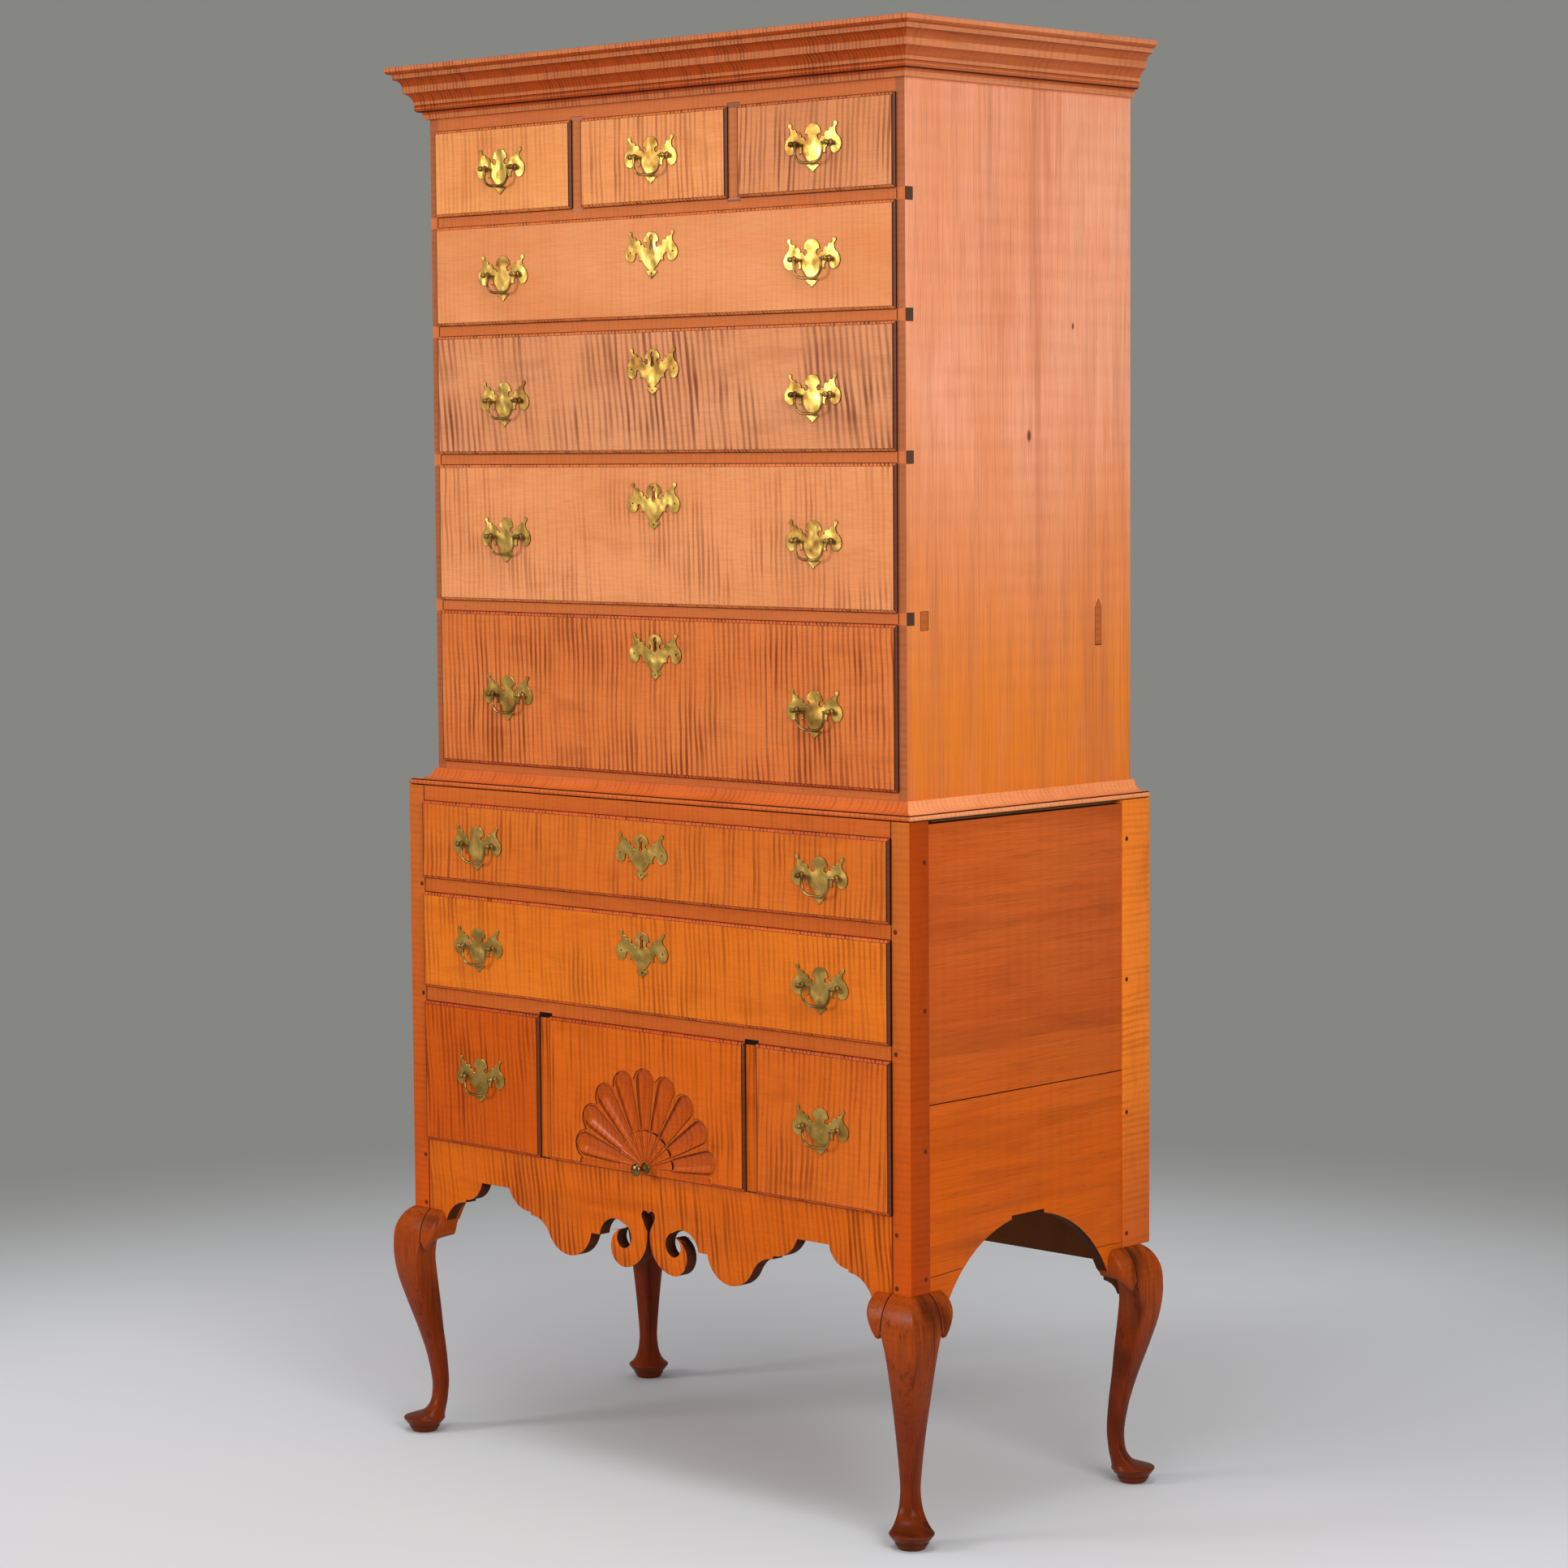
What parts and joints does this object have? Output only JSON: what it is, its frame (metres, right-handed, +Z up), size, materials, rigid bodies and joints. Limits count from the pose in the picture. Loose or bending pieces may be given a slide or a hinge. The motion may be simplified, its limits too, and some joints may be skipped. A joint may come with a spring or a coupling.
{
  "type": "highboy",
  "caption": "Flat-top Queen Anne highboy in tiger maple, with lipped drawers, bat-wing brasses, a carved shell drawer, a scrolled apron and cabriole legs on pad feet.",
  "frame": {"origin": "on the floor, at the middle of the piece's width and depth", "axes": "+X to the right of someone who faces the drawers, +Y to the back, +Z up"},
  "size_m": [0.9426, 0.4882, 1.83],
  "materials": {
    "maple": "satin",
    "pine": "matte",
    "brass": "satin"
  },
  "bodies": {
    "case": {"upper_sides": "maple", "upper_top": "pine", "upper_bottom": "pine", "upper_back": "pine", "upper_rails": "maple", "drawer_partitions": "maple", "drawer_runners": "pine", "cornice": "maple", "waist_moulding": "maple", "leg_front_left": "maple", "leg_front_right": "maple", "leg_back_left": "maple", "leg_back_right": "maple", "lower_sides": "maple", "lower_back": "pine", "lower_rails": "maple", "apron": "maple", "knee_blocks": "maple", "pegs": "maple"},
    "top_left": {"top_left_drawer": "maple", "top_left_brasses": "brass"},
    "top_left_bail": {"top_left_bail": "brass"},
    "top_middle": {"top_middle_drawer": "maple", "top_middle_brasses": "brass"},
    "top_middle_bail": {"top_middle_bail": "brass"},
    "top_right": {"top_right_drawer": "maple", "top_right_brasses": "brass"},
    "top_right_bail": {"top_right_bail": "brass"},
    "upper_first": {"upper_first_drawer": "maple", "upper_first_brasses": "brass"},
    "upper_first_bail_left": {"upper_first_bail_left": "brass"},
    "upper_first_bail_right": {"upper_first_bail_right": "brass"},
    "upper_second": {"upper_second_drawer": "maple", "upper_second_brasses": "brass"},
    "upper_second_bail_left": {"upper_second_bail_left": "brass"},
    "upper_second_bail_right": {"upper_second_bail_right": "brass"},
    "upper_third": {"upper_third_drawer": "maple", "upper_third_brasses": "brass"},
    "upper_third_bail_left": {"upper_third_bail_left": "brass"},
    "upper_third_bail_right": {"upper_third_bail_right": "brass"},
    "upper_fourth": {"upper_fourth_drawer": "maple", "upper_fourth_brasses": "brass"},
    "upper_fourth_bail_left": {"upper_fourth_bail_left": "brass"},
    "upper_fourth_bail_right": {"upper_fourth_bail_right": "brass"},
    "lower_first": {"lower_first_drawer": "maple", "lower_first_brasses": "brass"},
    "lower_first_bail_left": {"lower_first_bail_left": "brass"},
    "lower_first_bail_right": {"lower_first_bail_right": "brass"},
    "lower_second": {"lower_second_drawer": "maple", "lower_second_brasses": "brass"},
    "lower_second_bail_left": {"lower_second_bail_left": "brass"},
    "lower_second_bail_right": {"lower_second_bail_right": "brass"},
    "bottom_left": {"bottom_left_drawer": "maple", "bottom_left_brasses": "brass"},
    "bottom_left_bail": {"bottom_left_bail": "brass"},
    "shell": {"shell_drawer": "maple", "shell_brasses": "brass"},
    "bottom_right": {"bottom_right_drawer": "maple", "bottom_right_brasses": "brass"},
    "bottom_right_bail": {"bottom_right_bail": "brass"}
  },
  "joints": [
    {"name": "top_left_slide", "type": "slide", "parent": "case", "child": "top_left", "axis": [0, -1, 0], "range_m": [0, 0.32]},
    {"name": "top_left_bail_swing", "type": "hinge", "parent": "top_left", "child": "top_left_bail", "pos_m": [-0.278, -0.20483, 1.691], "axis": [-1, 0, 0], "range_deg": [0, 165]},
    {"name": "top_middle_slide", "type": "slide", "parent": "case", "child": "top_middle", "axis": [0, -1, 0], "range_m": [0, 0.32]},
    {"name": "top_middle_bail_swing", "type": "hinge", "parent": "top_middle", "child": "top_middle_bail", "pos_m": [0, -0.20483, 1.691], "axis": [-1, 0, 0], "range_deg": [0, 165]},
    {"name": "top_right_slide", "type": "slide", "parent": "case", "child": "top_right", "axis": [0, -1, 0], "range_m": [0, 0.32]},
    {"name": "top_right_bail_swing", "type": "hinge", "parent": "top_right", "child": "top_right_bail", "pos_m": [0.278, -0.20483, 1.691], "axis": [-1, 0, 0], "range_deg": [0, 165]},
    {"name": "upper_first_slide", "type": "slide", "parent": "case", "child": "upper_first", "axis": [0, -1, 0], "range_m": [0, 0.32]},
    {"name": "upper_first_bail_left_swing", "type": "hinge", "parent": "upper_first", "child": "upper_first_bail_left", "pos_m": [-0.275, -0.20483, 1.553], "axis": [-1, 0, 0], "range_deg": [0, 165]},
    {"name": "upper_first_bail_right_swing", "type": "hinge", "parent": "upper_first", "child": "upper_first_bail_right", "pos_m": [0.275, -0.20483, 1.553], "axis": [-1, 0, 0], "range_deg": [0, 165]},
    {"name": "upper_second_slide", "type": "slide", "parent": "case", "child": "upper_second", "axis": [0, -1, 0], "range_m": [0, 0.32]},
    {"name": "upper_second_bail_left_swing", "type": "hinge", "parent": "upper_second", "child": "upper_second_bail_left", "pos_m": [-0.275, -0.20483, 1.39], "axis": [-1, 0, 0], "range_deg": [0, 165]},
    {"name": "upper_second_bail_right_swing", "type": "hinge", "parent": "upper_second", "child": "upper_second_bail_right", "pos_m": [0.275, -0.20483, 1.39], "axis": [-1, 0, 0], "range_deg": [0, 165]},
    {"name": "upper_third_slide", "type": "slide", "parent": "case", "child": "upper_third", "axis": [0, -1, 0], "range_m": [0, 0.32]},
    {"name": "upper_third_bail_left_swing", "type": "hinge", "parent": "upper_third", "child": "upper_third_bail_left", "pos_m": [-0.275, -0.20483, 1.213], "axis": [-1, 0, 0], "range_deg": [0, 165]},
    {"name": "upper_third_bail_right_swing", "type": "hinge", "parent": "upper_third", "child": "upper_third_bail_right", "pos_m": [0.275, -0.20483, 1.213], "axis": [-1, 0, 0], "range_deg": [0, 165]},
    {"name": "upper_fourth_slide", "type": "slide", "parent": "case", "child": "upper_fourth", "axis": [0, -1, 0], "range_m": [0, 0.32]},
    {"name": "upper_fourth_bail_left_swing", "type": "hinge", "parent": "upper_fourth", "child": "upper_fourth_bail_left", "pos_m": [-0.275, -0.20483, 1.006], "axis": [-1, 0, 0], "range_deg": [0, 165]},
    {"name": "upper_fourth_bail_right_swing", "type": "hinge", "parent": "upper_fourth", "child": "upper_fourth_bail_right", "pos_m": [0.275, -0.20483, 1.006], "axis": [-1, 0, 0], "range_deg": [0, 165]},
    {"name": "lower_first_slide", "type": "slide", "parent": "case", "child": "lower_first", "axis": [0, -1, 0], "range_m": [0, 0.34]},
    {"name": "lower_first_bail_left_swing", "type": "hinge", "parent": "lower_first", "child": "lower_first_bail_left", "pos_m": [-0.308, -0.23333, 0.8075], "axis": [-1, 0, 0], "range_deg": [0, 165]},
    {"name": "lower_first_bail_right_swing", "type": "hinge", "parent": "lower_first", "child": "lower_first_bail_right", "pos_m": [0.308, -0.23333, 0.8075], "axis": [-1, 0, 0], "range_deg": [0, 165]},
    {"name": "lower_second_slide", "type": "slide", "parent": "case", "child": "lower_second", "axis": [0, -1, 0], "range_m": [0, 0.34]},
    {"name": "lower_second_bail_left_swing", "type": "hinge", "parent": "lower_second", "child": "lower_second_bail_left", "pos_m": [-0.308, -0.23333, 0.6725], "axis": [-1, 0, 0], "range_deg": [0, 165]},
    {"name": "lower_second_bail_right_swing", "type": "hinge", "parent": "lower_second", "child": "lower_second_bail_right", "pos_m": [0.308, -0.23333, 0.6725], "axis": [-1, 0, 0], "range_deg": [0, 165]},
    {"name": "bottom_left_slide", "type": "slide", "parent": "case", "child": "bottom_left", "axis": [0, -1, 0], "range_m": [0, 0.34]},
    {"name": "bottom_left_bail_swing", "type": "hinge", "parent": "bottom_left", "child": "bottom_left_bail", "pos_m": [-0.307, -0.23333, 0.499], "axis": [-1, 0, 0], "range_deg": [0, 165]},
    {"name": "shell_slide", "type": "slide", "parent": "case", "child": "shell", "axis": [0, -1, 0], "range_m": [0, 0.34]},
    {"name": "bottom_right_slide", "type": "slide", "parent": "case", "child": "bottom_right", "axis": [0, -1, 0], "range_m": [0, 0.34]},
    {"name": "bottom_right_bail_swing", "type": "hinge", "parent": "bottom_right", "child": "bottom_right_bail", "pos_m": [0.307, -0.23333, 0.499], "axis": [-1, 0, 0], "range_deg": [0, 165]}
  ]
}
